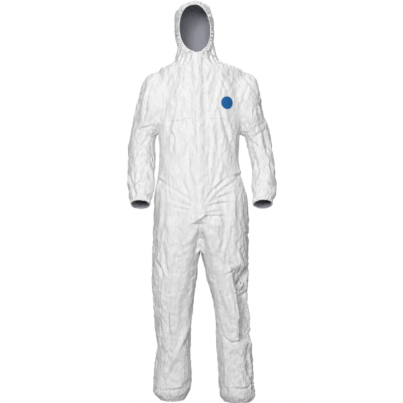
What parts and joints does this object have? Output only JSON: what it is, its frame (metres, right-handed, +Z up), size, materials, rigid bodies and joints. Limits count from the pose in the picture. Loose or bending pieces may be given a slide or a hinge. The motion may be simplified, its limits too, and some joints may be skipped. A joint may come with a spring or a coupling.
{
  "type": "hooded protective coverall",
  "caption": "Hooded one-piece protective coverall with a long front zip under a storm flap and elastic face, wrist, waist and ankle openings.",
  "frame": {"origin": "middle of the shoulders, where the garment hangs on its wearer, 1.400 m above the trouser hems", "axes": "+Z up the body, -Y out of the front, +X to the wearer's left"},
  "size_m": [0.64, 0.2945, 1.7518],
  "materials": {
    "fabric_white": "matt white nonwoven fabric with fine creases",
    "elastic_white": "white ribbed elastic",
    "zip_tape": "white woven tape",
    "zip_nylon": "white nylon coil",
    "zip_metal": "white lacquered metal",
    "badge_blue": "plain blue printed patch",
    "badge_white": "plain white woven or printed label"
  },
  "bodies": {
    "torso": {"front_left_panel": "fabric_white", "front_right_panel": "fabric_white", "back_panel": "fabric_white", "crotch_gusset": "fabric_white", "waist_elastic": "elastic_white", "size_label": "badge_white", "zip_tape_left": "zip_tape", "zip_tape_right": "zip_tape", "zip_teeth_left": "zip_nylon", "zip_teeth_right": "zip_nylon", "zip_top_stop_left": "zip_metal", "zip_top_stop_right": "zip_metal", "zip_bottom_stop": "zip_metal", "badge_border": "badge_white", "chest_badge": "badge_blue", "left_shoulder_fabric": "fabric_white", "right_shoulder_fabric": "fabric_white", "left_hip_fabric": "fabric_white", "right_hip_fabric": "fabric_white", "neck_fabric": "fabric_white"},
    "hood": {"hood_centre_panel": "fabric_white", "hood_left_panel": "fabric_white", "hood_right_panel": "fabric_white", "face_elastic": "elastic_white"},
    "left_upper_arm": {"left_upper_sleeve": "fabric_white", "left_elbow_fabric": "fabric_white"},
    "left_lower_arm": {"left_forearm_sleeve": "fabric_white", "left_cuff_elastic": "elastic_white"},
    "left_upper_leg": {"left_thigh": "fabric_white", "left_knee_fabric": "fabric_white"},
    "left_lower_leg": {"left_shin": "fabric_white", "left_ankle_elastic": "elastic_white"},
    "right_upper_arm": {"right_upper_sleeve": "fabric_white", "right_elbow_fabric": "fabric_white"},
    "right_lower_arm": {"right_forearm_sleeve": "fabric_white", "right_cuff_elastic": "elastic_white"},
    "right_upper_leg": {"right_thigh": "fabric_white", "right_knee_fabric": "fabric_white"},
    "right_lower_leg": {"right_shin": "fabric_white", "right_ankle_elastic": "elastic_white"},
    "flap": {"storm_flap": "fabric_white"},
    "slider": {"zip_slider": "zip_metal"},
    "tab": {"pull_tab": "zip_metal"}
  },
  "joints": [
    {"name": "hood_fold", "type": "hinge", "parent": "torso", "child": "hood", "pos_m": [-0.02, 0.05, 0.09], "axis": [-1, 0, 0], "range_deg": [0, 65], "deforming": ["neck_fabric"]},
    {"name": "left_shoulder", "type": "hinge", "parent": "torso", "child": "left_upper_arm", "pos_m": [0.19, 0.012, -0.01], "axis": [0, -1, 0], "range_deg": [0, 75], "deforming": ["left_shoulder_fabric"]},
    {"name": "left_elbow", "type": "hinge", "parent": "left_upper_arm", "child": "left_lower_arm", "pos_m": [0.262, 0.002, -0.31], "axis": [-1, 0, 0], "range_deg": [-25, 75], "deforming": ["left_elbow_fabric"]},
    {"name": "left_hip", "type": "hinge", "parent": "torso", "child": "left_upper_leg", "pos_m": [0.11, -0.03, -0.685], "axis": [-1, 0, 0], "range_deg": [-15, 60], "deforming": ["left_hip_fabric"]},
    {"name": "left_knee", "type": "hinge", "parent": "left_upper_leg", "child": "left_lower_leg", "pos_m": [0.125, 0.03, -1], "axis": [1, 0, 0], "range_deg": [0, 85], "deforming": ["left_knee_fabric"]},
    {"name": "right_shoulder", "type": "hinge", "parent": "torso", "child": "right_upper_arm", "pos_m": [-0.19, 0.012, -0.01], "axis": [0, 1, 0], "range_deg": [0, 75], "deforming": ["right_shoulder_fabric"]},
    {"name": "right_elbow", "type": "hinge", "parent": "right_upper_arm", "child": "right_lower_arm", "pos_m": [-0.262, 0.002, -0.31], "axis": [-1, 0, 0], "range_deg": [-25, 75], "deforming": ["right_elbow_fabric"]},
    {"name": "right_hip", "type": "hinge", "parent": "torso", "child": "right_upper_leg", "pos_m": [-0.11, -0.03, -0.685], "axis": [-1, 0, 0], "range_deg": [-15, 60], "deforming": ["right_hip_fabric"]},
    {"name": "right_knee", "type": "hinge", "parent": "right_upper_leg", "child": "right_lower_leg", "pos_m": [-0.125, 0.03, -1], "axis": [1, 0, 0], "range_deg": [0, 85], "deforming": ["right_knee_fabric"]},
    {"name": "flap_open", "type": "hinge", "parent": "torso", "child": "flap", "pos_m": [0.0179, -0.13204, -0.24995], "axis": [-0.0231, 0.0547, 0.9982], "range_deg": [0, 150], "deforming": ["storm_flap"]},
    {"name": "zip_slide", "type": "slide", "parent": "torso", "child": "slider", "axis": [0.0231, -0.0547, -0.9982], "range_m": [0, 0.674]},
    {"name": "pull_tab_swing", "type": "hinge", "parent": "slider", "child": "tab", "pos_m": [-0.01597, -0.11645, 0.08927], "axis": [-0.9997, -0.0006, -0.0231], "range_deg": [0, 150]}
  ]
}
